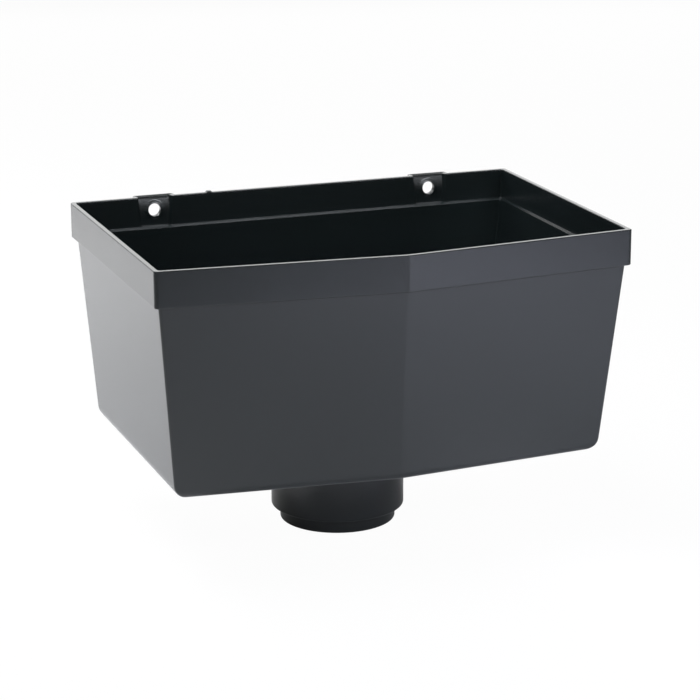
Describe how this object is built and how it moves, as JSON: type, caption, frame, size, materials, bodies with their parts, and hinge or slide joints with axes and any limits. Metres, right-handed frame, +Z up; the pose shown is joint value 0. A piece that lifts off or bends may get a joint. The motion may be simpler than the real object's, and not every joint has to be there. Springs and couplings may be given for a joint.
{
  "type": "downpipe hopper head",
  "caption": "Open moulded hopper head with a shallow V front, a stepped rim with screw pads at the back, and a round spigot below for a downpipe.",
  "frame": {"origin": "on the axis of the outlet spigot, level with the underside of the tub, where the mouth of the downpipe's socket stops", "axes": "+Z up; -Z down the outlet, the way the downpipe comes off; -Y to the V front; +Y to the wall; +X to the right seen from the front, along the width"},
  "size_m": [0.2402, 0.1706, 0.1614],
  "materials": {
    "black_pvcu": "glossy moulded black PVC-U"
  },
  "bodies": {
    "root": {"hopper_head": "black_pvcu"}
  },
  "joints": []
}
